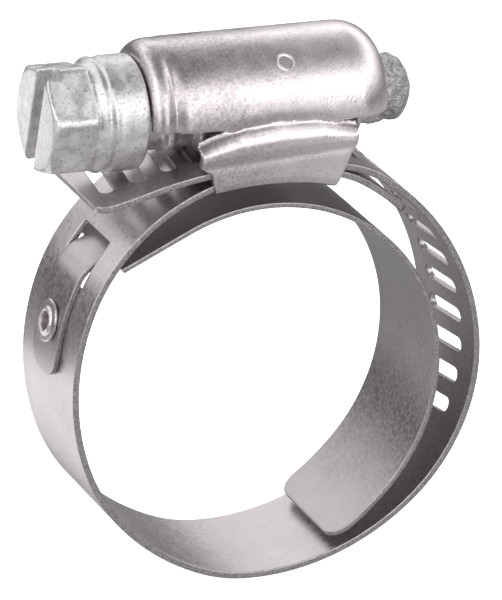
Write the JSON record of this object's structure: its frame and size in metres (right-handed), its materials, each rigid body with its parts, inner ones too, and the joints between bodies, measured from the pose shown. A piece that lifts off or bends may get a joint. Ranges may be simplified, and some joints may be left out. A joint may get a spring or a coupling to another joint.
{
  "type": "worm-drive hose clamp with inner liner",
  "caption": "Worm-drive hose clamp: slotted steel band loop with a thin inner liner riveted to it and a hex-head screw in a stamped housing.",
  "frame": {"origin": "centre of the round bore that the hose passes through, half way across the band", "axes": "+Y along the hose, +Z from the bore towards the screw, screw along X with its hex head towards -X"},
  "size_m": [0.0428, 0.0144, 0.0514],
  "materials": {
    "screw_zinc": "bright zinc plating",
    "housing_steel": "bright stamped stainless sheet",
    "band_steel": "rolled stainless strip with sheared edges",
    "liner_steel": "thin rolled stainless strip",
    "rivet_steel": "bright rolled rivet"
  },
  "bodies": {
    "clamp_frame": {"housing": "housing_steel", "band_anchor_half": "band_steel", "liner": "liner_steel", "hollow_rivet": "rivet_steel"},
    "slotted_band": {"band_slotted_half": "band_steel"},
    "worm": {"worm_screw": "screw_zinc"}
  },
  "joints": [
    {"name": "screw_turn", "type": "hinge", "parent": "clamp_frame", "child": "worm", "pos_m": [0, 0, 0.0258], "axis": [1, 0, 0], "range_deg": [-360, 180]},
    {"name": "band_travel", "type": "hinge", "parent": "clamp_frame", "child": "slotted_band", "pos_m": [-0.0005, 0, -0.01875], "axis": [0, -1, 0], "range_deg": [-4.34, 2.17]}
  ],
  "couplings": [
    {"joint": "band_travel", "follows": "screw_turn", "ratio": 0.012033}
  ]
}
